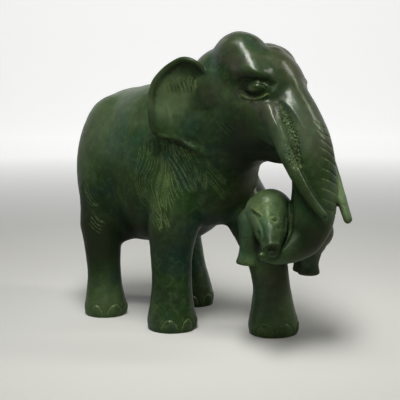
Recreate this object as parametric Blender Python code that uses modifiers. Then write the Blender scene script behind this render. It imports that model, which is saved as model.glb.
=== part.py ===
"""Cow elephant holding her calf in the crook of her trunk, cast in bronze as one piece."""

import math

import bmesh
import bpy
import numpy as np
from mathutils import Euler, Matrix, Vector
from mathutils.bvhtree import BVHTree

# Overall height of the casting, in metres
HEIGHT = 0.36
# The figure is drawn on a grid of this many units from the soles to the top of the head
GRID = 295.6
UNIT = HEIGHT / GRID
# Remesh grain of the coarse masses, and of the thin parts
COARSE = 3.0 * UNIT
FINE = 1.5 * UNIT
# Triangles left in the solid
TRIANGLES = 9600
# The head leans: for each unit toward her left it drops by this share
LEAN = 0.158
# Her left ear sits this much lower than her right one
EAR_DROP = 8
# Ear: thickness of the flap, and radius of the rolled rim
EAR_PLATE = 4.2
EAR_RIM = 4.4

# Each leg: x, y, height above the ground and radius, from the sole up
HIND_RIGHT = [
    (-49, 0, -6, 20), (-49, 0, 8, 22.5), (-49, 1, 22, 20), (-49, 2, 45, 17.5),
    (-49, 4, 78, 20), (-46, 6, 106, 25), (-38, 8, 135, 32),
]
HIND_LEFT = [
    (49, -29, -6, 20), (49, -29, 8, 22.5), (49, -28, 22, 20), (49, -22, 45, 17.5),
    (48, -12, 78, 20), (45, -2, 106, 25), (37, 8, 135, 32),
]
FORE_RIGHT = [
    (-37, -93, -6, 22), (-37, -93, 8, 25), (-37, -93, 26, 22), (-37, -93, 52, 20),
    (-38, -94, 80, 21.5), (-38, -98, 112, 26), (-34, -100, 150, 34),
]
FORE_LEFT = [
    (25, -174, -6, 22), (25, -174, 9, 25), (25, -173, 26, 21.5), (26, -170, 48, 18.5),
    (28, -162, 72, 20), (30, -151, 92, 23.5), (30, -138, 112, 26), (28, -112, 142, 27),
]
# The trunk, from between the eyes down and round to its tip
TRUNK = [
    (0, -194, 266, 16), (0, -203, 252, 19), (0, -212.5, 236, 20), (0, -227, 214, 22),
    (0, -242, 190, 21), (0, -248, 165, 20.5), (-1, -249, 142, 21), (-3, -246, 124, 21.5),
    (-11, -243, 109, 19.5), (-26, -242, 100, 13.5), (-42, -241, 96, 8.5), (-54, -240, 96, 5.5),
    (-61, -238, 98, 4.6),
]
# The tusks, from the socket to the tip
TUSK_RIGHT = [
    (-22, -205, 238, 7), (-29, -218, 224, 8), (-30, -229, 203, 7.4), (-28, -239, 186, 6.6),
    (-24.5, -250, 166, 5.7), (-20, -262, 147, 4.9), (-16, -274, 133, 4.1),
]
TUSK_LEFT = [
    (19, -216, 226, 9), (20, -228, 208, 8), (22, -242, 184, 6.5), (20, -256, 160, 5.4),
    (17, -268, 140, 4.6), (15, -276, 127, 3.9),
]
# The tail, hanging close against the rump
TAIL = [
    (0, 41, 217, 6), (0, 56, 194, 5.5), (0, 63, 166, 5), (0, 63, 140, 4.6), (0, 59, 116, 4.6),
    (0, 51, 97, 5.6), (0, 47, 85, 4.2),
]
# Outline of an ear on its own plane: distance back from its root, and height
EAR_OUTLINE = [
    (-10, 38), (-4, 44), (8, 48), (23, 46), (40, 39), (54, 28), (61, 15), (64, -2),
    (63, -16), (57, -28), (48, -32), (35, -34), (20, -40), (5, -48), (-8, -40), (-12, 0),
]
# Carving of the head, right side: reach and height of each stroke, then its path
HEAD_STROKES = [
    (7, -4.5, [(-38, -189, 243), (-38, -200, 246), (-35, -210, 247), (-28, -217, 246)]),
    (6, 2.5, [(-38, -186, 255), (-39, -200, 261), (-34, -211, 260)]),
    (5, 4.0, [(-35, -199, 242), (-34, -206, 243)]),
    (2.2, 1.6, [(-36, -190, 239), (-36, -198, 235), (-33, -207, 234), (-29, -214, 238)]),
    (2.2, 1.6, [(-36, -191, 241), (-37, -199, 247), (-34, -208, 247), (-29, -214, 242)]),
    (9, -2.5, [(-30, -196, 214), (-28, -206, 200)]),
]
# Carving of the calf
CALF_STROKES = [
    (3.0, -1.5, [(-45, -216, 135), (-47, -228, 130)]),
    (3.0, 1.5, [(-42, -240, 131), (-42, -240, 130)]),
    (2.5, -2.0, [(-57, -251, 105), (-56, -251, 105)]),
    (2.5, 2.0, [(-16, -233, 144), (-22, -243, 134), (-27, -244, 122), (-31, -244, 113)]),
    (3.5, 2.0, [(-38, -205, 146), (-45, -204, 134), (-46, -205, 120), (-44, -206, 108)]),
]

for leftover in list(bpy.data.objects):
    bpy.data.objects.remove(leftover)

statue = bpy.data.collections.new("elephant_with_calf_statue")
cutters = bpy.data.collections.new("cutters")
for folder in (statue, cutters):
    bpy.context.scene.collection.children.link(folder)


def smooth_path(points, steps=6):
    """Rows of numbers resampled along a smooth curve through them."""
    p = np.array(points, float)
    p = np.vstack([2 * p[0] - p[1], p, 2 * p[-1] - p[-2]])
    share = np.arange(steps)[:, None] / steps
    runs = [
        b + ((c - a) * share + (2 * a - 5 * b + 4 * c - d) * share**2) / 2
        + (3 * b - a - 3 * c + d) * share**3 / 2
        for a, b, c, d in zip(p, p[1:], p[2:], p[3:])
    ]
    return np.vstack(runs + [p[-2:-1]])


def mesh_object(name, mesh):
    piece = bpy.data.objects.new(name, mesh)
    statue.objects.link(piece)
    return piece


def evaluated_mesh(piece):
    bpy.context.view_layer.update()
    graph = bpy.context.evaluated_depsgraph_get()
    return bpy.data.meshes.new_from_object(piece.evaluated_get(graph))


def curve_solid(curve):
    """A bevelled or filled curve made a closed mesh."""
    piece = bpy.data.objects.new("curve", curve)
    statue.objects.link(piece)
    mesh = evaluated_mesh(piece)
    bpy.data.objects.remove(piece)
    shape = bmesh.new()
    shape.from_mesh(mesh)
    bmesh.ops.remove_doubles(shape, verts=shape.verts, dist=1e-6)
    bmesh.ops.recalc_face_normals(shape, faces=shape.faces)
    shape.to_mesh(mesh)
    shape.free()
    return mesh_object("curve", mesh)


def ball(centre, radii, lean=0.0):
    """An ellipsoid; with a lean its near side rises and its far side drops."""
    mesh = bpy.data.meshes.new("ball")
    shape = bmesh.new()
    bmesh.ops.create_uvsphere(shape, u_segments=40, v_segments=20, radius=1)
    shape.to_mesh(mesh)
    shape.free()
    slope = Matrix()
    slope[2][0] = -lean
    place = Matrix.Translation(Vector(centre)) @ Matrix.Diagonal((*radii, 1))
    mesh.transform(Matrix.Scale(UNIT, 4) @ slope @ place)
    return [mesh_object("ball", mesh)]


def limb(stations, lean=0.0):
    """A round form whose radius changes along its path, closed by a ball at each end."""
    rows = smooth_path(stations)
    rows[:, 2] -= lean * rows[:, 0]
    curve = bpy.data.curves.new("limb", "CURVE")
    curve.dimensions = "3D"
    curve.bevel_depth = UNIT
    curve.bevel_resolution = 8
    curve.use_fill_caps = True
    spline = curve.splines.new("POLY")
    spline.points.add(len(rows) - 1)
    for point, (x, y, z, radius) in zip(spline.points, rows):
        point.co = (x * UNIT, y * UNIT, z * UNIT, 1)
        point.radius = radius
    ends = [piece for row in (rows[0], rows[-1]) for piece in ball(row[:3], [row[3]] * 3)]
    return [curve_solid(curve)] + ends


def both_sides(make, spec):
    """A form and its twin on the other side of the head."""
    rows = [spec] if make is ball else spec
    pieces = []
    for side in (-1, 1):
        if make is ball:
            centre, radii = spec
            pieces += ball((side * centre[0], *centre[1:]), radii, LEAN)
        else:
            pieces += limb([(side * x, y, z, radius) for x, y, z, radius in rows], LEAN)
    return pieces


def fuse(pieces, name, grain, softness):
    """Pieces welded into one skin, with creases up to the given size smoothed away."""
    with bpy.context.temp_override(
        active_object=pieces[0], object=pieces[0], selected_editable_objects=pieces,
        selected_objects=pieces,
    ):
        bpy.ops.object.join()
    whole = pieces[0]
    whole.name = name
    weld = whole.modifiers.new("weld", "REMESH")
    weld.mode = "VOXEL"
    weld.voxel_size = grain
    soften = whole.modifiers.new("soften", "SMOOTH")
    soften.factor = 0.5
    soften.iterations = max(1, round((softness / grain) ** 2))
    mesh = evaluated_mesh(whole)
    whole.modifiers.clear()
    whole.data = mesh
    return whole


def coordinates(piece):
    rows = np.empty(len(piece.data.vertices) * 3)
    piece.data.vertices.foreach_get("co", rows)
    return rows.reshape(-1, 3) / UNIT


def normals(piece):
    rows = np.empty(len(piece.data.vertices) * 3)
    piece.data.vertex_normals.foreach_get("vector", rows)
    return rows.reshape(-1, 3)


def move_to(piece, rows):
    piece.data.vertices.foreach_set("co", (rows * UNIT).ravel())
    piece.data.update()


def stroke(piece, path, reach, height):
    """Raises the skin along a path, or presses it in where the height is negative."""
    tree = BVHTree.FromObject(piece, bpy.context.evaluated_depsgraph_get())
    rows = smooth_path(path, 8)
    rows = np.array([tree.find_nearest(Vector(row) * UNIT)[0][:] for row in rows]) / UNIT
    skin = coordinates(piece)
    gap = np.full(len(skin), np.inf)
    for a, b in zip(rows, rows[1:]):
        run = b - a
        share = np.clip((skin - a) @ run / max(run @ run, 1e-9), 0, 1)
        gap = np.minimum(gap, np.linalg.norm(skin - a - share[:, None] * run, axis=1))
    rise = height * np.exp(-((gap / reach) ** 2)) * (gap < 3 * reach)
    move_to(piece, skin + normals(piece) * rise[:, None])


def ear(side, drop):
    """A thin flap with a rolled rim, standing out from the neck toward its rear edge."""
    outline = smooth_path(EAR_OUTLINE + EAR_OUTLINE[:1])[:-1]
    flap = bpy.data.curves.new("flap", "CURVE")
    flap.dimensions = "2D"
    flap.fill_mode = "BOTH"
    flap.extrude = EAR_PLATE / 2 * UNIT
    spline = flap.splines.new("POLY")
    spline.use_cyclic_u = True
    spline.points.add(len(outline) - 1)
    for point, (along, up) in zip(spline.points, outline):
        point.co = (along * UNIT, up * UNIT, 0, 1)
    rim = outline[: int(0.86 * len(outline)) : 3]
    taper = np.sin(np.linspace(0.15, math.pi - 0.1, len(rim))) ** 0.5
    rows = [(along, up, 2.2, EAR_RIM * share) for (along, up), share in zip(rim, taper)]
    whole = fuse([curve_solid(flap)] + limb(rows), "ear", FINE, 1.5 * UNIT)
    along, up, out = coordinates(whole).T
    out = out + 7 * (along / 64) ** 2 + 3 * np.clip(up / 45, 0, 1) ** 2
    out -= 3.5 * np.exp(-(((along - 28) / 18) ** 2) - (up / 26) ** 2)
    out += 9 * np.exp(-(((along - 14) / 24) ** 2) - ((up + 42) / 16) ** 2)
    back = Vector((-26, 60, -4)).normalized()
    rise = Vector((-0.18, 0, 1))
    rise = (rise - rise.dot(back) * back).normalized()
    outward = rise.cross(back)
    frame = np.array([back, rise, outward])
    skin = np.array([-40, -150, 226]) + np.stack([along, up, out], axis=1) @ frame
    skin[:, 0] *= -side
    skin[:, 2] -= drop
    move_to(whole, skin)
    if side < 0:
        whole.data.flip_normals()
    return [whole]


# The calf lies across the mother's chest with its head to her right
calf_parts = limb([(-14, -212, 122, 18), (10, -215, 115, 21.5), (28, -217, 109, 20), (36, -218, 106, 17.5)])
calf_parts += ball((-24, -216, 129), (23, 21, 23.5))
calf_parts += limb([(-33, -227, 130, 14), (-42, -237, 119, 10.5), (-49, -243, 110, 8.8), (-52, -245, 105, 8.4)])
calf_parts += limb([(-33, -203, 122, 14), (-37, -205, 104, 10.5), (-38, -204, 94, 9), (-38, -204, 89, 10)])
calf_parts += limb([(33, -214, 98, 17), (34, -213, 86, 12), (35, -211, 76, 9), (35, -211, 71, 9.8)])
calf_parts += limb([(38, -206, 98, 15), (41, -200, 86, 11), (42, -198, 76, 9), (42, -198, 71, 9.8)])
calf = fuse(calf_parts, "calf", FINE, 2.2 * UNIT)

# Trunk of the body, with the tops of the legs and the neck, modelled very smooth
torso_parts = ball((0, 2, 155), (50, 58, 80))
for side in (-1, 1):
    torso_parts += ball((side * 27, 6, 152), (38, 53, 79))
torso_parts += ball((0, -42, 160), (64, 92, 84))
torso_parts += ball((0, -102, 174), (53, 57, 74))
torso_parts += limb([(0, 0, 182, 56), (0, -45, 184, 60), (0, -100, 188, 54)])
torso_parts += limb([(0, -110, 192, 54), (0, -145, 208, 48), (0, -172, 222, 42)])
for leg in (HIND_RIGHT, HIND_LEFT, FORE_RIGHT, FORE_LEFT):
    torso_parts += limb(leg[-3:])
torso = fuse(torso_parts, "torso", COARSE, 15 * UNIT)

# Legs, skull and trunk
mass = [torso]
for leg in (HIND_RIGHT, HIND_LEFT, FORE_RIGHT, FORE_LEFT):
    mass += limb(leg[:-1])
mass += ball((-18, -167, 260), (29, 36, 36))
mass += ball((18, -168, 250), (27, 33, 35))
mass += ball((0, -194, 236), (36, 33, 44), LEAN)
mass += limb([(-18, -172, 270, 26), (-25, -195, 260, 18), (-29, -207, 251, 11)])
mass += limb([(18, -172, 258, 26), (22, -190, 250, 16), (26, -201, 243, 9)])
mass += both_sides(ball, ((17, -186, 212), (25, 32, 30)))
mass += limb([(0, -170, 198, 26), (0, -190, 190, 18), (0, -206, 182, 11), (0, -218, 183, 9)], LEAN)
mass += ball((0, -211, 197), (22, 14, 13), LEAN)
mass += limb(TRUNK)
body = fuse(mass, "body", 0.8 * COARSE, 5 * UNIT)

# Tusks, ears and calf join the body with a tight fillet
thin = limb(TAIL) + limb(TUSK_RIGHT) + limb(TUSK_LEFT) + ear(-1, 0) + ear(1, EAR_DROP)
figure = fuse([body] + thin + [calf], "elephant_with_calf", 1.4 * FINE, 1.6 * UNIT)


# Brow, eye and lids on both sides of the head; cheek hollow beside each tusk
for side in (1, -1):
    sag = (1 - side) * LEAN
    for reach, height, path in HEAD_STROKES:
        stroke(figure, [(side * x, y, z + sag * x) for x, y, z in path], reach, height)
# Closed eyes, ears and trunk opening of the calf
for reach, height, path in CALF_STROKES:
    stroke(figure, path, reach, height)

# Thin the skin, then cut the soles flat on the ground
thin_out = figure.modifiers.new("thin_out", "DECIMATE")
thin_out.ratio = TRIANGLES / (2 * len(figure.data.polygons))
thin_out.use_collapse_triangulate = True
figure.data = evaluated_mesh(figure)
figure.modifiers.clear()
ground_mesh = bpy.data.meshes.new("ground")
shape = bmesh.new()
bmesh.ops.create_cube(shape, size=1)
shape.to_mesh(ground_mesh)
shape.free()
ground = bpy.data.objects.new("ground", ground_mesh)
cutters.objects.link(ground)
ground_mesh.transform(Matrix.Translation((0, 0, -HEIGHT)) @ Matrix.Scale(2 * HEIGHT, 4))
ground.hide_render = True
ground.display_type = "WIRE"
soles = figure.modifiers.new("soles", "BOOLEAN")
soles.operation = "DIFFERENCE"
soles.solver = "EXACT"
soles.object = ground

# The origin sits under the middle of the casting
standing = np.array([corner.co for corner in evaluated_mesh(figure).vertices])
low, high = standing.min(axis=0), standing.max(axis=0)
shift = Vector((-(low[0] + high[0]) / 2, -(low[1] + high[1]) / 2, 0))
figure.data.transform(Matrix.Translation(shift))
ground_mesh.transform(Matrix.Translation(shift))

# Waxed green patina over bronze
bronze = bpy.data.materials.new("green_patinated_bronze")
bronze.use_nodes = True
surface = bronze.node_tree.nodes["Principled BSDF"]
surface.inputs["Base Color"].default_value = (0.035, 0.065, 0.03, 1)
surface.inputs["Metallic"].default_value = 0.35
surface.inputs["Roughness"].default_value = 0.36
figure.data.materials.clear()
figure.data.materials.append(bronze)
figure.data.shade_smooth()
figure.data.set_sharp_from_angle(angle=math.radians(60))
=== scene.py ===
"""Cow elephant with her calf in the crook of her trunk: a bronze statue with a waxed green patina."""
import math
import random

import bmesh
import bpy
import numpy as np
from mathutils import Matrix, Vector, noise
from mathutils.bvhtree import BVHTree


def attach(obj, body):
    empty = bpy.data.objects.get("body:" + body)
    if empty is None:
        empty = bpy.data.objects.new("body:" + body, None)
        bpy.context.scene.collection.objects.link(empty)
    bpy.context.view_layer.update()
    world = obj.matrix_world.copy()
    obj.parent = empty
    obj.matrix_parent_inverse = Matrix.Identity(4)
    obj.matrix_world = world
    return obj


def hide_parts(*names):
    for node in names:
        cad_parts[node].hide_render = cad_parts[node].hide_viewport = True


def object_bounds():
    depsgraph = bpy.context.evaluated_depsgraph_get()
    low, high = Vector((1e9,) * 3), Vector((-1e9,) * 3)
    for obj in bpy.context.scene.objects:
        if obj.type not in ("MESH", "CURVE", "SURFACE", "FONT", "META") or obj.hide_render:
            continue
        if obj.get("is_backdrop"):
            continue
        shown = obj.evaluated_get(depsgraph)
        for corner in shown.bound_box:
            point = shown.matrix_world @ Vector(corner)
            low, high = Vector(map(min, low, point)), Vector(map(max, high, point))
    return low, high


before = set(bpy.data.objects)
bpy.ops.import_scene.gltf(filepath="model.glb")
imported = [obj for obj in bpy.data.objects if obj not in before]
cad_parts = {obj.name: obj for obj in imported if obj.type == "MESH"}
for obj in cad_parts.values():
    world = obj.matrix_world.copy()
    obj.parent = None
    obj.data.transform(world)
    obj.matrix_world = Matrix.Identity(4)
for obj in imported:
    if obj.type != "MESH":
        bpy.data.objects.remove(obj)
cad_low, cad_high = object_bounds()

# BODY AND LEGS
# The barrel, hips, shoulders and neck were modelled as one smooth mass and stand on four thick legs.
# The whole statue is one lost-wax bronze casting; its parts are built up here as a modeller adds wax.
# It is drawn on a grid of 295.6 units from the soles to the top of the head.
UNIT = 0.36 / 295.6
# Grain of the wax in metres: the barrel, the head and legs, and the thin parts
BROAD = 2.2 * UNIT
MEDIUM = 1.5 * UNIT
THIN = 0.85 * UNIT

# Each leg: x, y, height above the ground and radius, from the sole up
HIND_RIGHT = [
    (-49, 0, -6, 20), (-49, 0, 8, 22.5), (-49, 1, 22, 20), (-49, 2, 45, 17.5),
    (-49, 4, 78, 20), (-46, 6, 106, 25), (-38, 8, 135, 32),
]
HIND_LEFT = [
    (49, -29, -6, 20), (49, -29, 8, 22.5), (49, -28, 22, 20), (49, -22, 45, 17.5),
    (48, -12, 78, 20), (45, -2, 106, 25), (37, 8, 135, 32),
]
FORE_RIGHT = [
    (-37, -93, -6, 22), (-37, -93, 8, 25), (-37, -93, 26, 22), (-37, -93, 52, 20),
    (-38, -94, 80, 21.5), (-37, -98, 112, 26), (-30, -100, 142, 27),
]
FORE_LEFT = [
    (25, -174, -6, 22), (25, -174, 9, 25), (25, -173, 26, 21.5), (26, -170, 48, 18.5),
    (28, -162, 72, 20), (30, -151, 92, 23.5), (30, -138, 112, 26), (28, -112, 142, 27),
]
LEGS = (HIND_RIGHT, HIND_LEFT, FORE_RIGHT, FORE_LEFT)


def smooth_path(points, steps=6):
    """Rows of numbers resampled along a smooth curve through them."""
    p = np.array(points, float)
    p = np.vstack([2 * p[0] - p[1], p, 2 * p[-1] - p[-2]])
    share = np.arange(steps)[:, None] / steps
    runs = [
        b + ((c - a) * share + (2 * a - 5 * b + 4 * c - d) * share**2) / 2
        + (3 * b - a - 3 * c + d) * share**3 / 2
        for a, b, c, d in zip(p, p[1:], p[2:], p[3:])
    ]
    return np.vstack(runs + [p[-2:-1]])


def mesh_object(name, mesh):
    piece = bpy.data.objects.new(name, mesh)
    bpy.context.scene.collection.objects.link(piece)
    return piece


def evaluated_mesh(piece):
    bpy.context.view_layer.update()
    graph = bpy.context.evaluated_depsgraph_get()
    return bpy.data.meshes.new_from_object(piece.evaluated_get(graph))


def curve_solid(curve):
    """A bevelled or filled curve made a closed mesh."""
    piece = bpy.data.objects.new("curve", curve)
    bpy.context.scene.collection.objects.link(piece)
    mesh = evaluated_mesh(piece)
    bpy.data.objects.remove(piece)
    shape = bmesh.new()
    shape.from_mesh(mesh)
    bmesh.ops.remove_doubles(shape, verts=shape.verts, dist=1e-6)
    bmesh.ops.recalc_face_normals(shape, faces=shape.faces)
    shape.to_mesh(mesh)
    shape.free()
    return mesh_object("curve", mesh)


def ball(centre, radii, lean=0.0):
    """An ellipsoid; with a lean its near side rises and its far side drops."""
    mesh = bpy.data.meshes.new("ball")
    shape = bmesh.new()
    bmesh.ops.create_uvsphere(shape, u_segments=48, v_segments=24, radius=1)
    shape.to_mesh(mesh)
    shape.free()
    slope = Matrix()
    slope[2][0] = -lean
    place = Matrix.Translation(Vector(centre)) @ Matrix.Diagonal((*radii, 1))
    mesh.transform(Matrix.Scale(UNIT, 4) @ slope @ place)
    return [mesh_object("ball", mesh)]


def limb(stations, lean=0.0, sole=1.0):
    """A round form whose radius changes along its path, closed by a ball at each end.

    A sole below one flattens the last ball.
    """
    rows = smooth_path(stations)
    rows[:, 2] -= lean * rows[:, 0]
    curve = bpy.data.curves.new("limb", "CURVE")
    curve.dimensions = "3D"
    curve.bevel_depth = UNIT
    curve.bevel_resolution = 10
    curve.use_fill_caps = True
    spline = curve.splines.new("POLY")
    spline.points.add(len(rows) - 1)
    for point, (x, y, z, radius) in zip(spline.points, rows):
        point.co = (x * UNIT, y * UNIT, z * UNIT, 1)
        point.radius = radius
    first, last = rows[0], rows[-1]
    return (
        [curve_solid(curve)]
        + ball(first[:3], [first[3]] * 3)
        + ball(last[:3], (last[3], last[3], sole * last[3]))
    )


def fuse(pieces, name, grain, softness):
    """Pieces welded into one skin, with creases up to the given size smoothed away."""
    with bpy.context.temp_override(
        active_object=pieces[0], object=pieces[0], selected_editable_objects=pieces,
        selected_objects=pieces,
    ):
        bpy.ops.object.join()
    whole = pieces[0]
    whole.name = name
    weld = whole.modifiers.new("weld", "REMESH")
    weld.mode = "VOXEL"
    weld.voxel_size = grain
    soften = whole.modifiers.new("soften", "SMOOTH")
    soften.factor = 0.5
    soften.iterations = max(1, round((softness / grain) ** 2))
    mesh = evaluated_mesh(whole)
    whole.modifiers.clear()
    whole.data = mesh
    return whole


# Size of the creases that are smoothed away when parts are welded
TORSO_CREASE = 15 * UNIT
SKULL_CREASE = 7 * UNIT
BODY_CREASE = 4.5 * UNIT
CALF_CREASE = 2.2 * UNIT
FILLET = 1.6 * UNIT
EAR_CREASE = 1.2 * UNIT

torso_parts = ball((0, 2, 155), (50, 58, 80))
for side in (-1, 1):
    torso_parts += ball((side * 27, 6, 152), (38, 53, 79))
torso_parts += ball((0, -18, 157), (64.5, 68, 82))
torso_parts += ball((0, -42, 160), (64, 92, 84))
torso_parts += ball((0, -102, 174), (53, 57, 74))
torso_parts += limb([(0, 0, 182, 56), (0, -45, 184, 60), (0, -100, 188, 54)])
torso_parts += limb([(0, -110, 192, 54), (0, -145, 208, 48), (0, -172, 222, 42)])
for leg in LEGS:
    torso_parts += limb(leg[-3:])
body_mass = [fuse(torso_parts, "torso", BROAD, TORSO_CREASE)]
for leg in LEGS:
    x, y, height, radius = leg[-1]
    body_mass += limb(leg[:-1] + [(0.7 * x, y, height, 0.75 * radius)])

# HEAD AND TRUNK
# Two domes, heavy brows, full cheeks and a short lower lip; the trunk hangs from between the eyes
# and curls back under the calf. Her head leans, so each form drops by a share of its x.
LEAN = 0.158
TRUNK = [
    (0, -194, 266, 16), (0, -203, 252, 19), (0, -212.5, 236, 20), (0, -227, 214, 22),
    (0, -242, 190, 21), (0, -248, 165, 20.5), (-1, -249, 142, 21), (-3, -246, 124, 21.5),
    (-11, -243, 109, 19.5), (-26, -242, 100, 13.5), (-42, -241, 96, 8.2), (-51, -241, 96, 5.2),
    (-60, -241, 98.5, 3.8),
]
skull = ball((-18, -169, 260), (27, 31, 36)) + ball((18, -168, 250), (27, 32, 35))
skull += ball((0, -173, 249), (20, 27, 33))
skull += ball((-18, -157, 256), (27, 27, 29)) + ball((18, -157, 249), (26, 27, 28))
skull += ball((0, -194, 236), (36, 33, 44), LEAN)
skull += limb([(-18, -172, 268, 27), (-25, -192, 259, 20), (-28, -205, 252, 14)])
skull += limb([(18, -172, 258, 26), (23, -190, 249, 18), (26, -200, 243, 12)])
for side in (-1, 1):
    nape = [(side * 18, -150, 244.5, 34), (side * 12, -138, 231, 35), (side * 8, -118, 212, 42)]
    socket_root = [(side * 19, -200, 215, 20), (side * 22, -212, 204, 14), (side * 24, -222, 194, 8)]
    skull += limb(nape, LEAN)
    skull += ball((side * 13, -170, 226), (31, 39, 48), LEAN)
    skull += ball((side * 14, -162, 205), (31, 36, 33), LEAN)
    skull += ball((side * 18, -188, 213), (25, 33, 31), LEAN)
    skull += limb(socket_root, LEAN)
LOWER_LIP = [(0, -170, 198, 26), (0, -190, 190, 18), (0, -206, 182, 11), (0, -218, 183, 9)]
skull += limb(LOWER_LIP, LEAN)
skull += ball((0, -211, 197), (22, 14, 13), LEAN)
body_mass.append(fuse(skull, "skull", MEDIUM, SKULL_CREASE))
SOCKET_RIGHT = [(-20, -200, 232, 9), (-25, -216, 222, 9.5), (-28, -227, 208, 8), (-27.5, -235, 194, 6.6)]
SOCKET_LEFT = [(17, -208, 230, 10), (20, -220, 218, 10), (21, -231, 202, 8), (22, -240, 188, 6.6)]
body_mass += limb(SOCKET_RIGHT)
body_mass += limb(SOCKET_LEFT)
body_mass += limb(TRUNK)
body = fuse(body_mass, "body", MEDIUM, BODY_CREASE)

# TUSKS
# Slim and slightly curved, of the same bronze and cast with the head; each leaves a thick socket
# beside the trunk.
TUSK_RIGHT = [
    (-28, -226, 207, 6.8), (-28, -239, 186, 6.4), (-24.5, -250, 166, 5.7), (-20, -262, 147, 4.9),
    (-16, -274, 133, 4.1),
]
TUSK_LEFT = [
    (21, -231, 204, 7), (22, -242, 184, 6.5), (20, -256, 160, 5.4), (17, -268, 140, 4.6),
    (15, -276, 127, 3.9),
]
thin_parts = limb(TUSK_RIGHT) + limb(TUSK_LEFT)

# TAIL
# Hidden in the photo: a plain bronze tail, modelled lying close against the rump and cast with it,
# which ends in a small tuft above the hocks.
thin_parts += limb([
    (0, 41, 217, 6), (0, 56, 194, 5.5), (0, 63, 166, 5), (0, 63, 140, 4.6), (0, 59, 116, 4.6),
    (0, 51, 97, 5.6), (0, 47, 85, 4.2),
])

# EARS
# Broad bronze flaps with a rolled rim, dished in the middle, cast with the neck and standing off it
# toward the rear edge. Their outline is on the ear's own plane: distance back from the root, and height.
EAR_OUTLINE = [
    (-2, 33), (3, 41), (12, 46.5), (24, 46), (39, 38), (50, 28), (56, 15), (59, -2),
    (59, -16), (55, -28), (47, -32), (35, -34), (20, -40), (5, -48), (-8, -40), (-12, 0),
]
EAR_PLATE = 4.2
EAR_RIM = 3.3
# The rolled rim follows this share of the outline, a little inside it and above the plate
RIM_SHARE = 0.62
RIM_INSET = 1.5
RIM_LIFT = 2.4
# How far the rear edge stands off, and the length over which it does
EAR_FLARE = 7
EAR_LENGTH = 64
# Depth of the hollow in the middle, and how far the lower front stands out over the neck
EAR_DISH = 4.5
EAR_LOBE = 9
EAR_ROOT = (-40, -150, 226)
# The left ear sits lower, because the head leans
EAR_DROP = 8


def coordinates(piece):
    rows = np.empty(len(piece.data.vertices) * 3)
    piece.data.vertices.foreach_get("co", rows)
    return rows.reshape(-1, 3) / UNIT


def move_to(piece, rows):
    piece.data.vertices.foreach_set("co", (rows * UNIT).ravel())
    piece.data.update()


ear_edges = []


def ear(side, drop):
    """A thin flap with a rolled rim, standing out from the neck toward its rear edge."""
    outline = smooth_path(EAR_OUTLINE + EAR_OUTLINE[:1])[:-1]
    flap = bpy.data.curves.new("flap", "CURVE")
    flap.dimensions = "2D"
    flap.fill_mode = "BOTH"
    flap.extrude = EAR_PLATE / 2 * UNIT
    spline = flap.splines.new("POLY")
    spline.use_cyclic_u = True
    spline.points.add(len(outline) - 1)
    for point, (along, up) in zip(spline.points, outline):
        point.co = (along * UNIT, up * UNIT, 0, 1)
    rim = [*outline[-4:-1], *outline[: int(RIM_SHARE * len(outline)) : 3]]
    taper = np.sin(np.linspace(0.25, math.pi - 0.1, len(rim))) ** 0.4
    rows = [
        (along - RIM_INSET * (along > 20), up - RIM_INSET * (up > 20), RIM_LIFT, EAR_RIM * share)
        for (along, up), share in zip(rim, taper)
    ]
    whole = fuse([curve_solid(flap)] + limb(rows), "ear", THIN, EAR_CREASE)
    along, up, out = coordinates(whole).T
    out = out + EAR_FLARE * (along / EAR_LENGTH) ** 2 + 3 * np.clip(up / 45, 0, 1) ** 2
    out -= EAR_DISH * np.exp(-(((along - 28) / 20) ** 2) - ((up - 8) / 26) ** 2)
    out += EAR_LOBE * np.exp(-(((along - 14) / 24) ** 2) - ((up + 42) / 16) ** 2)
    back = Vector((-26, 60, -4)).normalized()
    rise = Vector((-0.18, 0, 1))
    rise = (rise - rise.dot(back) * back).normalized()
    frame_of_ear = np.array([back, rise, rise.cross(back)])
    crest = [(along, up, 5 + EAR_FLARE * (along / EAR_LENGTH) ** 2) for along, up, *_ in rows]
    skin = EAR_ROOT + np.stack([along, up, out], axis=1) @ frame_of_ear
    edge = EAR_ROOT + np.array(crest) @ frame_of_ear
    for place in (skin, edge):
        place[:, 0] *= -side
        place[:, 2] -= drop
    ear_edges.extend(map(tuple, edge))
    move_to(whole, skin)
    if side < 0:
        whole.data.flip_normals()
    return [whole]


thin_parts += ear(-1, 0) + ear(1, EAR_DROP)

# CALF
# Cast with its mother, it lies across her chest in the curl of her trunk: a round head with closed
# eyes, a short trunk, a fore leg in front and two hind legs hanging on the far side.
CALF_BODY = [(-14, -212, 122, 18), (10, -215, 115, 21.5), (28, -217, 109, 20), (36, -218, 106, 17.5)]
CALF_TRUNK = [(-31, -223, 127, 18), (-39, -232, 118, 15.5), (-47, -240, 110, 11), (-51, -244, 105, 8.6)]
CALF_LEGS = [
    [(-33, -203, 122, 14), (-37, -205, 104, 11), (-38, -204, 93, 10), (-39, -204, 84, 12)],
    [(33, -214, 98, 17), (34, -213, 86, 12), (35, -211, 74, 9.6), (35, -211, 64.5, 11)],
    [(38, -206, 98, 15), (41, -200, 86, 11), (42, -198, 74, 9.6), (42, -198, 64.5, 11)],
]
FLAT_SOLE = 0.2
calf_parts = limb(CALF_BODY)
calf_parts += ball((-24, -216, 129), (23, 21, 23.5))
calf_parts += limb(CALF_TRUNK)
for leg in CALF_LEGS:
    calf_parts += limb(leg, sole=FLAT_SOLE)
thin_parts += [fuse(calf_parts, "calf", THIN, CALF_CREASE)]

# CASTING
# The parts run together with tight fillets, as one hollow bronze casting; brows, eyes, tusk edges and
# the calf's face are worked in the wax with a rounded tool that raises the skin along a path or
# presses it in.
statue = fuse([body] + thin_parts, "elephant_with_calf_casting", THIN, FILLET)


def normals(piece):
    rows = np.empty(len(piece.data.vertices) * 3)
    piece.data.vertex_normals.foreach_get("vector", rows)
    return rows.reshape(-1, 3)


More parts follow.
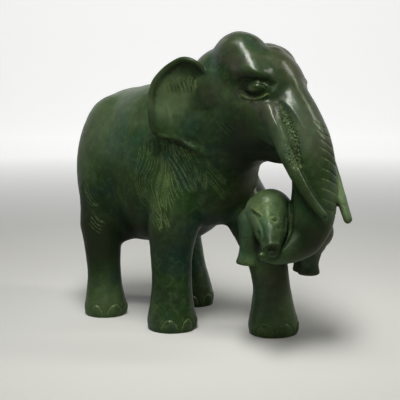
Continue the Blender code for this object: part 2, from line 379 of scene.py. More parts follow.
def laid_on(tree, rows):
    """The rows moved onto the nearest skin, and the direction that the skin faces at each."""
    found = [tree.find_nearest(Vector(row) * UNIT) for row in rows]
    return np.array([hit[0][:] for hit in found]) / UNIT, np.array([hit[1][:] for hit in found])


def near(skin, facing, rows, outward, reach):
    """Points of the skin beside a path: their numbers, and how far to the side and along it they lie."""
    span = 3 * reach + 5
    low, high = rows.min(axis=0) - span, rows.max(axis=0) + span
    close = np.flatnonzero(((skin > low) & (skin < high)).all(axis=1))
    close = close[facing[close] @ outward.mean(axis=0) > 0]
    gap = np.full(len(close), np.inf)
    along = np.zeros(len(close))
    for number, (a, b, up) in enumerate(zip(rows, rows[1:], outward)):
        run = b - a
        share = np.clip((skin[close] - a) @ run / max(run @ run, 1e-9), 0, 1)
        aside = skin[close] - a - share[:, None] * run
        aside -= 0.9 * (aside @ up)[:, None] * up
        off = np.linalg.norm(aside, axis=1)
        closer = off < gap
        gap[closer] = off[closer]
        along[closer] = (number + share[closer]) / (len(rows) - 1)
    return close, gap, along


def stroke(skin, facing, tree, path, reach, height, taper=0.0, rough=0.0):
    """Raises the skin along a path, or presses it in where the height is negative."""
    rows, outward = laid_on(tree, smooth_path(path, 8))
    close, gap, along = near(skin, facing, rows, outward, reach)
    rise = height * np.exp(-((gap / reach) ** 2))
    if taper:
        rise *= np.clip(np.sin(np.pi * np.clip(along, 0, 1)), 0, 1) ** taper
    if rough:
        rise *= [1 + rough * noise.noise(Vector(row) * 0.9) for row in skin[close]]
    skin[close] += facing[close] * rise[:, None]
    return rows, outward


def melted(skin, ends, centre, radii, rounds):
    """Wax warmed over one oval place, so that the creases inside it flow out."""
    off = 1 - np.linalg.norm((skin - np.array(centre)) / np.array(radii), axis=1)
    warm = np.flatnonzero(off > 0)
    place = np.full(len(skin), -1)
    place[warm] = np.arange(len(warm))
    a, b = place[ends[(place[ends] >= 0).all(axis=1)]].T
    a, b = np.concatenate([a, b]), np.concatenate([b, a])
    count = np.maximum(np.bincount(a, minlength=len(warm)), 1)
    rows = skin[warm]
    share = np.clip(3 * off[warm], 0, 1)
    for _ in range(rounds):
        for axis in range(3):
            rows[:, axis] += share * (np.bincount(a, rows[b, axis], len(warm)) / count - rows[:, axis])
    skin[warm] = rows


def far_side(path, drop=0.0, lean=0.0):
    """The same path on her other side, lower by the drop and by the lean of the head."""
    return [(-x, y, z - drop + 2 * lean * x) for x, y, z in path]


LOWER_LID = [
    (-38.5, -191.5, 237.6), (-37.5, -196.5, 235),
    (-35.5, -204, 234), (-31, -211, 235.6), (-27.5, -215.7, 239.4),
]
# Reach, height and path of each stroke on the right side of the head
HEAD_STROKES = [
    # Crest of the dome
    (11, 1.2, [(-29, -176, 292), (-34.4, -187, 283), (-36.4, -196.7, 275), (-37, -203, 269)]),
    # Recess under the brow, and the brow itself
    (4.0, -5.6, [
        (-40, -186.5, 246), (-41.5, -200, 250.5),
        (-39, -212.3, 252.5), (-30, -218, 249.5), (-22, -219.6, 245),
    ]),
    (5, 1.2, [
        (-42, -178.4, 250), (-41.8, -188.5, 257), (-42, -201.5, 262), (-38, -210.3, 263), (-31, -216.4, 261),
    ]),
    # Eyeball, with a crease above and below it
    (2.2, 1.0, [(-39, -198, 242.2), (-38, -205, 243), (-35.5, -211.5, 243)]),
    (0.9, -1.1, [
        (-38.4, -191.4, 241), (-39.8, -200.4, 246.4),
        (-39, -210, 248), (-34, -215.8, 246.4), (-28, -216.2, 243),
    ]),
    (0.9, -1.2, [
        (-37.5, -193.7, 240.8), (-35.5, -202.6, 239.4), (-32.4, -211.1, 240.2), (-29.9, -214.9, 242.4),
    ]),
    (1.15, 2.2, LOWER_LID),
    # Edges on either side of the channel between tusk and trunk
    (2.8, 0.9, [
        (-28, -216.4, 232.4), (-32.3, -226, 221), (-32, -233, 211),
        (-31.2, -238.5, 199.4), (-32, -242.6, 189.3),
    ]),
    (2.6, 0.9, [
        (-30, -226.5, 222.5), (-26, -223, 228), (-19.5, -222.8, 233), (-17.9, -229.6, 230.3),
        (-16.6, -236.6, 224.6), (-15.2, -245.7, 213.8), (-13.9, -252.7, 203.7),
    ]),
    # Lower edge of the ear, and the groove under it
    (2.2, 1.0, [
        (-71, -99, 203), (-65, -103, 199), (-60, -109, 195),
        (-54, -121, 194), (-53, -129, 190), (-49, -141, 185),
    ]),
    (2.6, -3.2, [
        (-68, -101, 196), (-62, -106, 192), (-55, -117, 190),
        (-52, -128, 186), (-48, -140, 181), (-42, -150, 177),
    ]),
]
CALF_BROW = [(-45, -213, 136.8), (-45.7, -215.5, 136.3), (-47.3, -222.8, 134.3), (-48.5, -230.1, 131.6)]
CALF_EYE = [
    (-46.3, -236.8, 130.8), (-43.9, -237, 132.8), (-41, -238.6, 133.2), (-38.5, -241.1, 131.4),
    (-42.1, -242.1, 128.7), (-45.4, -240.4, 128.5), (-46.3, -236.8, 130.8),
]
CALF_STROKES = [
    # Brow over the right eye, and the shut eye below it
    (1.0, 1.5, CALF_BROW),
    (1.3, -1.4, [(-46, -214, 133.6), (-47.5, -222, 131.6), (-48.6, -229, 129.2)]),
    # Left eyeball and the crease round it
    (1.9, 1.2, [(-43.5, -238, 131), (-41.5, -240, 130.8)]),
    (0.8, -1.2, CALF_EYE),
    # Edge of the ear and the creases between ear, leg and trunk
    (3.5, 2.0, [(-38, -205, 146), (-45, -204, 134), (-46, -205, 120), (-44, -206, 108)]),
    (1.6, -1.6, [(-49, -225.8, 129), (-52, -231.9, 124), (-55, -237.4, 117.9), (-58.6, -241, 109)]),
    (1.9, -2.6, [(-54, -231, 119), (-55, -232, 111), (-50, -226, 103)]),
    # Groove where the calf's cheek lies against its mother's trunk
    (2.0, -2.2, [
        (-19.4, -239.3, 143.6), (-22.5, -241.6, 132),
        (-25.9, -243.4, 119.2), (-33.5, -245.3, 110), (-40, -247, 104),
    ]),
    # Opening of the trunk and its rim
    (3.2, -4.4, [(-59, -246, 102.5), (-55.5, -250, 104), (-49, -252, 104.5)]),
    (1.0, 1.3, [
        (-59.1, -241, 102), (-59.3, -244.3, 106.3),
        (-57.2, -248.3, 108.9), (-52.6, -251.2, 109.1), (-46, -251, 107),
    ]),
]

# Places where creases are melted out: centre, size and how long
MELTED = [
    ((-42, -97, 148), (34, 42, 44), 260),
    ((-50, 38, 150), (38, 70, 70), 300),
    ((-34, -186, 200), (26, 30, 27), 200),
    ((34, -186, 192), (26, 30, 27), 200),
    ((0, -190, 250), (34, 26, 22), 160),
    ((0, -200, 186), (30, 26, 18), 120),
    ((-28, -220, 212), (9, 13, 18), 70),
    ((-27, -207, 257), (13, 13, 12), 80),
]
skin = coordinates(statue)
ends = np.empty(len(statue.data.edges) * 2, int)
statue.data.edges.foreach_get("vertices", ends)
for centre, radii, rounds in MELTED:
    melted(skin, ends.reshape(-1, 2), centre, radii, rounds)
move_to(statue, skin)

skin = coordinates(statue)
facing = normals(statue)
tree = BVHTree.FromObject(statue, bpy.context.evaluated_depsgraph_get())
for reach, height, path in HEAD_STROKES:
    taper = min(1.0, reach / 6)
    stroke(skin, facing, tree, path, reach, height, taper)
    stroke(skin, facing, tree, far_side(path, lean=LEAN), reach, height, taper)
for reach, height, path in CALF_STROKES:
    stroke(skin, facing, tree, path, reach, height, 0.3)
move_to(statue, skin)

# CHASED LINES
# Hair and skin folds cut with a graver in the cold bronze: swept families at the shoulder, neck and
# rump, ridges in the ears, rings on the trunk, and toenails. The far side has fewer of them.
chance = random.Random(7)
# Each family on her right side: distance between its lines, reach and depth of a cut, and guides
FAMILIES = [
    (3.2, 0.75, -0.62, [
        [
            (-58, -71, 182), (-60, -68, 170), (-61, -66, 158), (-61, -65, 147), (-59, -66, 137),
            (-56, -69, 128), (-55, -78, 118), (-63, -97, 111),
        ],
        [
            (-56, -85, 177), (-59, -82, 165), (-60, -75, 154), (-59, -74, 143), (-60, -82, 132),
            (-64, -96, 123), (-63, -105, 112), (-61, -101, 99),
        ],
        [
            (-58, -101, 173), (-65, -102, 162), (-66, -99, 153), (-66, -97, 144), (-65, -99, 134),
            (-64, -105, 125), (-61, -110, 115),
        ],
        [(-64, -105, 162), (-66, -108, 147), (-63, -110, 133), (-61, -112, 121)],
        [(-60, -107, 169), (-65, -111, 152), (-60, -117, 138), (-54, -122, 129)],
        [(-56, -107, 175), (-57, -117, 166), (-56, -124, 157), (-51, -128, 148), (-44, -130, 138)],
        [(-52, -125, 183), (-48, -128, 174), (-45, -131, 165), (-42, -134, 154), (-38, -134, 146)],
        [(-46, -131, 180), (-42, -134, 168), (-39, -137, 157), (-35, -138, 147)],
    ]),
    (3.3, 0.75, -0.55, [
        [(-57, -72, 189), (-58, -73, 181), (-59, -72, 174)],
        [(-55, -96, 188), (-54, -96, 182), (-56, -95, 177)],
        [(-51, -116, 188), (-51, -119, 182), (-52, -120, 176)],
        [(-44, -134, 183), (-42, -137, 177), (-40, -139, 170)],
    ]),
    (3.5, 0.8, -0.5, [
        [(-38, -147, 174), (-26, -151, 160), (-16, -152, 150)],
        [(-36, -141, 157), (-24, -146, 142), (-13, -145, 131)],
    ]),
    (2.4, 0.7, -0.55, [
        [(-40, -139, 163), (-38, -138, 154), (-35, -137, 144)],
        [(-35, -142, 163), (-33, -141, 152), (-32, -139, 144)],
    ]),
    (3.0, 0.75, -0.6, [
        [(-65, 14, 152), (-68, 3, 141), (-67, -3, 129), (-64, -9, 121), (-60, -14, 117)],
        [(-67, 19, 139), (-69, 11, 128), (-69, 2, 121), (-66, -6, 116)],
    ]),
    (3.3, 0.75, -0.55, [
        [(-67, -5, 113), (-65, -10, 106), (-59, -14, 101)],
        [(-69, -1, 99), (-66, -6, 93), (-62, -11, 89)],
    ]),
    (3.8, 0.8, -0.3, [
        [(-61, -38, 142), (-59, -38, 133), (-56, -38, 123)],
        [(-61, -56, 140), (-59, -56, 132), (-56, -56, 123)],
    ]),
    (3.2, 0.75, -0.55, [
        [(-54, -75, 121), (-63, -95, 112), (-62, -102, 102)],
        [(-61, -112, 121), (-58, -114, 114), (-57, -115, 107)],
    ]),
    (5.0, 0.8, -0.2, [
        [(-43, -165, 213), (-40, -172, 205), (-36, -178, 199)],
        [(-41, -175, 214), (-40, -181, 209), (-38, -189, 203)],
    ]),
]
# Wavy ridges in the hollow of the ear, and one longer fold below them
EAR_RIDGES = [
    [(-63, -119, 249), (-63, -116, 242), (-61, -115, 235), (-58, -117, 230)],
    [(-57, -133, 254), (-55, -130, 247), (-53, -129, 240), (-51, -129, 234)],
    [(-49, -146, 250), (-48, -144, 243), (-47, -143, 236)],
]
EAR_FOLD = [(-61, -112, 228), (-58, -114, 218), (-57, -114, 209)]
# Toenails of each foot: centre, radius, and the two bearings that each nail spans, zero at the front
TOENAILS = [
    ((-49, 0), 23, [(-82, -47), (-34, 12), (26, 62)]),
    ((49, -29), 23, [(47, 82), (-12, 34), (-62, -26)]),
    ((-37, -93), 25.5, [(-66, -27), (-17, 16), (26, 58), (67, 96)]),
    ((25, -174), 25.5, [(-86, -45), (-37, 7), (18, 54), (64, 94)]),
]
NAIL_FOOT = 4.5
NAIL_TOP = 14.0
# Rings round the front of the trunk: height on her right edge, from under the brow to the curl
TRUNK_RINGS = [222, 211, 201, 192, 183, 173, 164, 155, 146, 137]


LINE_POINTS = 33
GUIDE_STEPS = 12


def combed(guides, pitch):
    """Lines laid side by side from the first guide to the last, some a little longer than others."""
    spots = np.linspace(0, 1, LINE_POINTS)
    drawn = []
    for guide in guides:
        rows = smooth_path(guide, 8)
        share = np.linspace(0, 1, len(rows))
        drawn.append(np.stack([np.interp(spots, share, axis) for axis in rows.T], axis=1).ravel())
    sheet = smooth_path(drawn, GUIDE_STEPS).reshape(-1, LINE_POINTS, 3)
    steps = np.linalg.norm(np.diff(sheet[:, LINE_POINTS // 2], axis=0), axis=1)
    travelled = np.concatenate([[0], np.cumsum(steps)])
    count = max(2, round(travelled[-1] / pitch) + 1)
    picks = np.interp(np.linspace(0, travelled[-1], count), travelled, np.arange(len(sheet)))
    lines = []
    for pick in picks:
        if count > 2:
            pick = min(len(sheet) - 1, pick + chance.uniform(-0.8, 0.8))
        line = sheet[round(pick)]
        first = int(chance.uniform(0, 4))
        last = int(chance.uniform(LINE_POINTS - 6, LINE_POINTS))
        lines.append(line[first:last:3])
    return lines


# How soon a cut runs out at its ends, and how much wider apart the cuts are on the far side
CUT_TAPER = 0.5
FAR_PITCH = 1.7
cuts = []
for pitch, reach, depth, guides in FAMILIES:
    cuts += [(line, reach, depth, CUT_TAPER) for line in combed(guides, pitch)]
    far_lines = [np.array(far_side(line)) for line in combed(guides, FAR_PITCH * pitch)]
    cuts += [(line, reach, depth, CUT_TAPER) for line in far_lines]
for height in TRUNK_RINGS:
    swing = chance.uniform(-1.5, 1.5)
    path = [
        (-8, -262, height + 1), (0, -268, height - 2), (8, -266, height - 6 + swing),
        (14, -260, height - 9 + swing),
    ]
    cuts.append((np.array(path), 0.8, -0.6, 0.6))
nails = []
for (x, y), radius, spans in TOENAILS:
    for first, last in spans:
        share = np.linspace(0, 1, 13)
        bearing = np.radians(first + (last - first) * share)
        height = NAIL_FOOT + (NAIL_TOP - NAIL_FOOT) * np.sin(np.pi * share) ** 0.7
        arc = np.stack([x + radius * np.sin(bearing), y - radius * np.cos(bearing), height], axis=1)
        cuts.append((arc, 0.9, -0.9, 0))
        middle = math.radians((first + last) / 2)
        nails.append([(x + radius * math.sin(middle), y - radius * math.cos(middle), z) for z in (5, 10)])

# The skin is divided more finely along the lines, so that a narrow cut has walls and a floor
tree = BVHTree.FromObject(statue, bpy.context.evaluated_depsgraph_get())
skin = coordinates(statue)
facing = normals(statue)
lined = np.zeros(len(skin), bool)
for path, reach, *_ in cuts:
    rows, outward = laid_on(tree, smooth_path(path, 3))
    close, gap, along = near(skin, facing, rows, outward, reach)
    lined[close[gap < 2.2 * reach]] = True
shape = bmesh.new()
shape.from_mesh(statue.data)
shape.verts.ensure_lookup_table()
shape.edges.ensure_lookup_table()
beside = {edge.index for number in np.flatnonzero(lined) for edge in shape.verts[number].link_edges}
divided = [shape.edges[number] for number in sorted(beside)]
bmesh.ops.subdivide_edges(shape, edges=divided, cuts=1, use_grid_fill=True)
shape.to_mesh(statue.data)
shape.free()

skin = coordinates(statue)
facing = normals(statue)
# Where verdigris powder lies: the path and its facing, its reach and its strength; deep cuts hold more
POWDER_OF_DEPTH = -1.5
carved = []
for path, reach, depth, taper in cuts:
    carved.append((*stroke(skin, facing, tree, path, reach, depth, taper), reach, POWDER_OF_DEPTH * depth))
for path in nails:
    stroke(skin, facing, tree, path, 4.0, 1.1)
# Each ridge of the ear waves a little to and fro, and has a groove behind it
RIDGE_PITCH = 3.1
SWAY = 0.8
for line in combed(EAR_RIDGES, RIDGE_PITCH):
    sway = np.array([0, 1, 0]) * np.sin(np.linspace(0, 7, len(line)))[:, None] * SWAY
    for path, drop in ((line + sway, 0), (np.array(far_side(line + sway)), EAR_DROP)):
        ridge = path - np.array([0, 0, drop])
        carved.append((*stroke(skin, facing, tree, ridge, 1.0, 1.0, 0.5), 1.9, 1.1))
        stroke(skin, facing, tree, path - np.array([0, 1.6, drop]), 0.8, -0.8, 0.5)
for path in (EAR_FOLD, far_side(EAR_FOLD, EAR_DROP)):
    stroke(skin, facing, tree, path, 1.3, 1.0, 0.5)
# Rough, unchased channel left between each tusk and the trunk
CHANNEL = [(-21, -227, 225), (-20.5, -234, 216), (-20.3, -242, 202), (-20.6, -246, 187), (-21, -250, 175)]
for path in (CHANNEL, far_side(CHANNEL)):
    carved.append((*stroke(skin, facing, tree, path, 3.6, -1.9, 0.4, 1.2), 3.2, 0.9))
# Powder on the lids and on the calf's brow and eye
LID_POWDER = 1.7
for path in (CALF_BROW, CALF_EYE):
    carved.append((*laid_on(tree, smooth_path(path, 8)), LID_POWDER, 1.1))
for path in (LOWER_LID, far_side(LOWER_LID, lean=LEAN)):
    carved.append((*laid_on(tree, smooth_path(path, 8)), LID_POWDER, 1.0))
# Hand-worked metal is never quite even, the calf's face least of all; each pair is a height and a fineness
CALF_FACE = np.array([-40, -232, 125])
CALF_FACE_RADIUS = 24
DENTS = (0.35, 0.3)
WAVES = (0.2, 0.12)
RIPPLES = (0.045, 0.4)
calf_face = np.exp(-((np.linalg.norm(skin - CALF_FACE, axis=1) / CALF_FACE_RADIUS) ** 2))
skin += facing * np.array([
    DENTS[0] * share * noise.noise(Vector(row) * DENTS[1])
    + WAVES[0] * noise.noise(Vector(row) * WAVES[1])
    + RIPPLES[0] * noise.noise(Vector(row) * RIPPLES[1])
    for row, share in zip(skin, calf_face)
])[:, None]
move_to(statue, skin)

# The skin is thinned, then the soles are cut flat on the ground
TRIANGLES = 194000
thin_out = statue.modifiers.new("thin_out", "DECIMATE")
triangles = sum(len(face.vertices) - 2 for face in statue.data.polygons)
thin_out.ratio = TRIANGLES / triangles
thin_out.use_collapse_triangulate = True
statue.data = evaluated_mesh(statue)
statue.modifiers.clear()
shape = bmesh.new()
shape.from_mesh(statue.data)
cut = bmesh.ops.bisect_plane(
    shape, geom=shape.verts[:] + shape.edges[:] + shape.faces[:], plane_co=(0, 0, 0), plane_no=(0, 0, -1),
    clear_outer=True,
)
rim_edges = [item for item in cut["geom_cut"] if isinstance(item, bmesh.types.BMEdge)]
bmesh.ops.edgeloop_fill(shape, edges=rim_edges)
bmesh.ops.triangulate(shape, faces=[face for face in shape.faces if len(face.verts) > 4])
shape.to_mesh(statue.data)
shape.free()

# PATINA
# Green copper patina under wax, with painted shade in the sheltered places and creases: powdery yellow-green
# in the cut lines, and thin over the high points, where the brown bronze shows. Each is worked out from the
# form.
skin = coordinates(statue)
facing = normals(statue)
ends = np.empty(len(statue.data.edges) * 2, int)
statue.data.edges.foreach_get("vertices", ends)
left_end, right_end = ends.reshape(-1, 2).T
neighbours = np.bincount(left_end, minlength=len(skin)) + np.bincount(right_end, minlength=len(skin))


def spread(values, rounds):
    """Values evened out over neighbouring points of the skin."""
    for _ in range(rounds):
        from_right = np.bincount(left_end, values[right_end], len(values))
        from_left = np.bincount(right_end, values[left_end], len(values))
        values = (values + (from_right + from_left)) / (1 + neighbours)
    return values


def hollow(rounds):
    """How far the skin lies below its own average around each point, in units; ridges are negative."""
    return sum((spread(skin[:, axis], rounds) - skin[:, axis]) * facing[:, axis] for axis in range(3))


def store(name, values):
    layer = statue.data.attributes.new(name, "FLOAT", "POINT")
    layer.data.foreach_set("value", np.clip(values, 0, 1).astype(np.float32))


fine = hollow(3)
broad = spread(hollow(25), 3)
verdigris = np.zeros(len(skin))
for rows, outward, reach, strength in carved:
    close, gap, along = near(skin, facing, rows, outward, reach)
    verdigris[close] = np.maximum(verdigris[close], strength * np.exp(-((gap / (0.55 * reach)) ** 2)))
# Painted shade in the creases and small hollows
store("crevice_shade", spread(np.clip(1.7 * hollow(9) - 0.12, 0, 1), 1))
store("rubbed", spread(np.clip(-broad * 1.6 - 0.25, 0, 1), 2))

# Rays sent out over the half space above each point tell how sheltered it is, for the painted shade laid
# there
tree = BVHTree.FromObject(statue, bpy.context.evaluated_depsgraph_get())
REACH_OF_SHELTER = 60 * UNIT
RAYS = 10
golden = math.pi * (3 - math.sqrt(5))
fan = []
for number in range(RAYS):
    share = (number + 0.5) / RAYS
    turn = number * golden
    flat = math.sqrt(share)
    fan.append(Vector((math.cos(turn) * flat, math.sin(turn) * flat, math.sqrt(1 - share))))
# Rays start a little above the skin, in metres
CLEARANCE = 0.0006
sheltered_shade = np.empty(len(skin))
for number, (point, normal) in enumerate(zip(skin, facing)):
    normal = Vector(normal)
    turn = normal.to_track_quat("Z", "Y")
    start = Vector(point) * UNIT + normal * CLEARANCE
    hits = [tree.ray_cast(start, turn @ ray, REACH_OF_SHELTER)[0] is not None for ray in fan]
    sheltered_shade[number] = sum(hits) / RAYS
# Painted shade: darker where the skin is sheltered, and where it faces down
store("sheltered_shade", spread(sheltered_shade, 3) + 0.3 * np.clip(-1.5 * facing[:, 2], 0, 1))

# Spots that change the colour: centre, radius and strength. The pale spots are paler patina with painted
# light, the shade spots are painted shade, and the teal spots are patina with a painted sheen on the flank;
# the bronze, film and powder spots are the patina's own colour
PALE_PATINA_AND_PAINTED_LIGHT_SPOTS = [
    # Back, rump and right shoulder
    ((-50, 10, 235), 64, 0.45), ((-62, 46, 165), 46, 0.22), ((-60, -96, 150), 30, 0.15),
    # Right ear, temple, eye, and the upper trunk
    ((-58, -114, 236), 24, 1.7), ((-46, -168, 238), 18, 0.4),
    ((-39, -205, 242), 4, 0.9), ((-20, -245, 205), 26, 0.6),
    # Left tusk
    ((17, -268, 140), 20, 1.4), ((22, -262, 165), 14, 0.4),
    # Calf's head and foot, and the curl of the trunk
    ((-35, -222, 128), 24, 0.75), ((-40, -206, 86), 9, 0.4), ((-30, -240, 95), 18, 0.4),
    # Right hind foot, and left fore foot and leg
    ((-60, -10, 20), 30, 0.4), ((20, -190, 25), 26, 0.5), ((26, -186, 62), 22, 0.35),
]
BRONZE_PATCHES = [
    ((28, -190, 262), 34, 1.0), ((10, -262, 200), 22, 0.35), ((20, -160, 150), 30, 0.5),
    ((35, -235, 105), 20, 0.9), ((15, -196, 60), 26, 0.5), ((0, -215, 245), 18, 0.4),
]
# Painted shade: spots darkened where shade falls, under the brow and the ear, round the calf, and on the
# belly, cheek, chest, trunk and legs
PAINTED_SHADE_SPOTS = [
    # Cheek, mouth and chest, and under the brow
    ((-34, -186, 198), 30, 0.9), ((0, -195, 180), 26, 0.8),
    ((10, -168, 165), 18, 0.5), ((-41, -201, 251), 8, 1.0),
    # Front of the trunk and its curl, and behind the tusk's tip
    ((-8, -262, 108), 26, 0.9), ((-22, -262, 150), 14, 0.7), ((-26, -250, 112), 20, 0.5),
    # Round the calf's leg, trunk and hind feet
    ((-45, -219, 106), 10, 0.9), ((-53, -243, 113), 9, 0.5),
    ((-55, -250, 103), 6, 1.0), ((40, -205, 75), 22, 0.7),
    # Under the ear, belly, and the right fore leg
    ((-52, -120, 186), 14, 0.5), ((-60, -128, 172), 14, 0.3), ((-30, -20, 100), 44, 0.5),
    ((-40, -92, 84), 40, 0.5), ((-66, -104, 116), 18, 0.35),
    # Right hind leg and thigh
    ((-52, 42, 78), 52, 0.7), ((-62, -4, 62), 34, 0.6), ((-54, 8, 112), 26, 0.5), ((-60, 50, 110), 40, 0.8),
]
# Each ear's rolled rim is painted darker too
EAR_EDGE_WIDTH = 4.5
PAINTED_SHADE_SPOTS += [(place, EAR_EDGE_WIDTH, 0.6) for place in ear_edges]
FILM_PATCHES = [
    ((-38, -180, 262), 46, 0.8), ((-30, -218, 226), 18, 0.6), ((0, -255, 215), 34, 0.5),
    ((30, -190, 255), 36, 0.7), ((-70, 40, 200), 46, 0.5),
]
POWDER_PATCHES = [
    ((-43, -226, 140), 10, 0.6), ((-41, -208, 86), 8, 0.5), ((-32, -240, 97), 7, 0.4),
    ((-61, -103, 108), 12, 0.15), ((-58, -112, 250), 12, 0.35),
]
# Teal patina, and on the right flank a painted bluish sheen
TEAL_PATINA_AND_SHEEN_SPOTS = [
    ((-42, -205, 108), 16, 0.9), ((-24, -232, 148), 14, 0.7), ((-14, -252, 130), 16, 0.8),
    ((-34, -108, 96), 22, 0.5), ((18, -180, 96), 24, 0.6), ((-62, -50, 196), 26, 0.6),
    ((-36, -180, 196), 24, 0.5), ((-49, -238, 120), 12, 0.8),
]


def patches(spots):
    total = np.zeros(len(skin))
    for centre, radius, strength in spots:
        away = np.linalg.norm(skin - np.array(centre), axis=1)
        total += strength * np.exp(-((away / radius) ** 2))
    return total


store("verdigris", np.maximum(verdigris, np.clip(fine * 5 - 0.6, 0, 0.25)) + patches(POWDER_PATCHES))
store("pale_patina_and_painted_light", patches(PALE_PATINA_AND_PAINTED_LIGHT_SPOTS))
store("brown_patina", patches(BRONZE_PATCHES))
store("painted_shade", patches(PAINTED_SHADE_SPOTS))
store("film", patches(FILM_PATCHES))
store("teal_patina_and_sheen", patches(TEAL_PATINA_AND_SHEEN_SPOTS))
store("underside", spread(np.clip(0.45 - 1.1 * facing[:, 2], 0, 1), 3))


class Tone:
    """A socket in a material; arithmetic on it adds the nodes for it."""

    def __init__(self, nodes, socket=None):
        self.nodes = nodes
        self.socket = socket

    def make(self, kind, settings=(), sockets=(), output=0):
        """A new node: its settings come first, then the values or links of its sockets."""
        node = self.nodes.nodes.new(kind)
        for name, value in dict(settings).items():
            setattr(node, name, value)
        for name, value in dict(sockets).items():
            if isinstance(value, Tone):
                self.nodes.links.new(value.socket, node.inputs[name])
            else:
                node.inputs[name].default_value = value
        return Tone(self.nodes, node.outputs[output])

    def maths(self, operation, first, second, clamp=False):
        settings = {"operation": operation, "use_clamp": clamp}
        return self.make("ShaderNodeMath", settings, {0: first, 1: second})

    def __add__(self, other):
        return self.maths("ADD", self, other)

    def __sub__(self, other):
        return self.maths("SUBTRACT", self, other)

    def __mul__(self, other):
        return self.maths("MULTIPLY", self, other)

    __radd__ = __add__
    __rmul__ = __mul__

    def __rsub__(self, other):
        return self.maths("SUBTRACT", other, self)

    def clamped(self):
        return self.maths("ADD", self, 0, clamp=True)

    def over(self, under, colour):
        """This value as the cover of one colour over another."""
        return self.make("ShaderNodeMix", {"data_type": "RGBA"}, {0: self, 6: under, 7: colour}, 2)


patina = bpy.data.materials.new("waxed_green_patina")
patina.use_nodes = True
surface = patina.node_tree.nodes["Principled BSDF"]
start = Tone(patina.node_tree)
place = start.make("ShaderNodeTexCoord", output="Object")


def cloud(scale, detail=3.0, roughness=0.55, distortion=0.0):
    """Soft random patches; the scale is in patches per metre."""
    return start.make("ShaderNodeTexNoise", {"noise_dimensions": "3D"}, {
        "Vector": place, "Scale": scale, "Detail": detail, "Roughness": roughness, "Distortion": distortion,
    })


def range_of(value, low, high):
    """Zero below low, one above high."""
    return start.make("ShaderNodeMapRange", {"interpolation_type": "SMOOTHSTEP"}, {
        "Value": value, "From Min": low, "From Max": high,
    })


def painted(name):
    return start.make("ShaderNodeAttribute", {"attribute_name": name}, output="Fac")


DEEP_GREEN = (0.006, 0.031, 0.004, 1)
MOSS_GREEN = (0.018, 0.051, 0.007, 1)
BLUE_GREEN = (0.006, 0.03, 0.022, 1)
PALE_GREEN = (0.11, 0.165, 0.075, 1)
TEAL_GREEN = (0.012, 0.062, 0.04, 1)
POWDER_GREEN = (0.16, 0.22, 0.08, 1)
BLACK_GREEN = (0.006, 0.012, 0.005, 1)
BROWN_BRONZE = (0.085, 0.07, 0.038, 1)
GREY_FILM = (0.05, 0.043, 0.038, 1)

# Clouds of green first, then paler patina with painted light, teal patina with a painted sheen, grey film,
# painted shade from the form and brown bronze over them, and powder on top
broad_cloud = cloud(9, 4, 0.6, 0.4)
middle_cloud = cloud(45, 5, 0.6, 0.2)
small_cloud = cloud(110, 4, 0.62, 0.6)
speckle = cloud(420, 3, 0.6)
colour = range_of(broad_cloud, 0.38, 0.64).over(DEEP_GREEN, MOSS_GREEN)
colour = (range_of(cloud(16, 3, 0.5, 0.6), 0.46, 0.66) * 0.85).over(colour, BLUE_GREEN)
colour = (range_of(small_cloud, 0.42, 0.74) * 0.28).over(colour, PALE_GREEN)
colour = (range_of(cloud(60, 5, 0.68, 0.8), 0.42, 0.72) * 0.6).over(colour, BLACK_GREEN)
# Paler patina with painted light on it
light = (painted("pale_patina_and_painted_light") * (0.55 + range_of(middle_cloud, 0.3, 0.7) * 0.6)).clamped()
colour = light.over(colour, PALE_GREEN)
blue = painted("teal_patina_and_sheen") * range_of(cloud(28, 4, 0.6, 0.5), 0.36, 0.6)
colour = (blue * 0.75).clamped().over(colour, TEAL_GREEN)
film = painted("film") * range_of(cloud(34, 4, 0.6, 0.6), 0.38, 0.62)
colour = (film * 0.7).clamped().over(colour, GREY_FILM)
# Painted shade from shelter, creases and the shade spots turns the colour black-green, less where the
# painted light is
dark = range_of(painted("sheltered_shade"), 0.25, 0.75) + painted("painted_shade")
dark = (dark + painted("crevice_shade") * 0.9 - light * 0.3).clamped()
colour = (dark * 0.85).over(colour, BLACK_GREEN)
brown = (painted("brown_patina") * (0.6 + middle_cloud * 0.6) + painted("rubbed") * 0.15).clamped()
colour = (brown * 0.75).over(colour, BROWN_BRONZE)
lined_powder = painted("verdigris") * range_of(speckle + middle_cloud * 0.6, 0.58, 1.0)
powder = (lined_powder + range_of(speckle, 0.66, 0.8) * 0.12).clamped()
colour = (powder * 0.68).over(colour, POWDER_GREEN)
patina.node_tree.links.new(colour.socket, surface.inputs["Base Color"])
roughness = (0.4 + middle_cloud * 0.16 + powder * 0.3).clamped()
patina.node_tree.links.new(roughness.socket, surface.inputs["Roughness"])
patina.node_tree.links.new((0.12 + brown * 0.45).clamped().socket, surface.inputs["Metallic"])
grit = speckle * 0.5 + cloud(1100, 2, 0.5) * 0.3 + middle_cloud * 0.6
GRIT_HEIGHT = 0.0007
relief = start.make("ShaderNodeBump", {}, {"Strength": 0.35, "Distance": GRIT_HEIGHT, "Height": grit})
patina.node_tree.links.new(relief.socket, surface.inputs["Normal"])
# A thin coat of wax, worn off the powdery and the sheltered places
wax = 0.27 + middle_cloud * 0.2 + small_cloud * 0.2
wax = wax - powder * 0.6 - dark * 0.5 - painted("underside") * 0.75
wax = (wax - light * 0.5 - painted("teal_patina_and_sheen") * 0.3).clamped()
patina.node_tree.links.new(wax.socket, surface.inputs["Coat Weight"])
WAX_ROUGHNESS = 0.21
BARE_SHINE = 0.1
surface.inputs["Coat Roughness"].default_value = WAX_ROUGHNESS
surface.inputs["Specular IOR Level"].default_value = BARE_SHINE

statue.data.materials.clear()
statue.data.materials.append(patina)
statue.data.shade_smooth()

